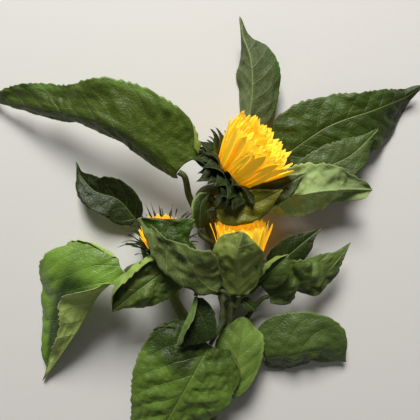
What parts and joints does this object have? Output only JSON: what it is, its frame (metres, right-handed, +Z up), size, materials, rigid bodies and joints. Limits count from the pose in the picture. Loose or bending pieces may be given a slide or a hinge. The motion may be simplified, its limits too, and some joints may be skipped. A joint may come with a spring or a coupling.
{
  "type": "cut sunflower spray",
  "caption": "Cut flowering sunflower laid flat: a tapering stem with side branches, half-open yellow heads in bract cups and broad heart-shaped leaves that fold, curl and droop on their stalks.",
  "frame": {"origin": "middle of the footprint, on the surface that the plant lies on", "axes": "+Y runs from the cut end of the stem towards the topmost leaf, +Z is up from the surface, and +X is to the right, seen from above"},
  "size_m": [0.4694, 0.4758, 0.1003],
  "materials": {
    "stem": "green, ridged and finely hairy",
    "leaf": "satin green upper side, paler matt underside with raised veins",
    "bract": "matt dark green with fine pale hairs",
    "petal": "soft matt yellow, orange towards the base"
  },
  "bodies": {
    "root": {"main_stem": "stem", "branch_centre": "stem", "branch_left": "stem", "head_centre": "bract", "head_left": "bract", "head_top": "bract", "petals_centre": "petal", "petals_left": "petal", "petals_top": "petal", "leaf_bottom_back": "leaf", "leaf_bottom_broad": "leaf", "leaf_collar_dark": "leaf", "leaf_collar_left": "leaf", "leaf_collar_olive": "leaf", "leaf_drooping": "leaf", "leaf_front_behind": "leaf", "leaf_front_folded": "leaf", "leaf_front_upright": "leaf", "leaf_left_long": "leaf", "leaf_left_low": "leaf", "leaf_left_pointed": "leaf", "leaf_right_broad": "leaf", "leaf_right_lower": "leaf", "leaf_right_pale": "leaf", "leaf_right_small": "leaf", "leaf_right_tucked": "leaf", "leaf_right_twisted": "leaf", "leaf_small_folded": "leaf", "leaf_tiny": "leaf", "leaf_top": "leaf", "stalk_bottom_back": "stem", "stalk_bottom_broad": "stem", "stalk_collar_dark": "stem", "stalk_collar_left": "stem", "stalk_collar_olive": "stem", "stalk_drooping": "stem", "stalk_front_behind": "stem", "stalk_front_folded": "stem", "stalk_front_upright": "stem", "stalk_left_long": "stem", "stalk_left_low": "stem", "stalk_left_pointed": "stem", "stalk_right_broad": "stem", "stalk_right_lower": "stem", "stalk_right_pale": "stem", "stalk_right_small": "stem", "stalk_right_tucked": "stem", "stalk_right_twisted": "stem", "stalk_small_folded": "stem", "stalk_tiny": "stem", "stalk_top": "stem"}
  },
  "joints": []
}
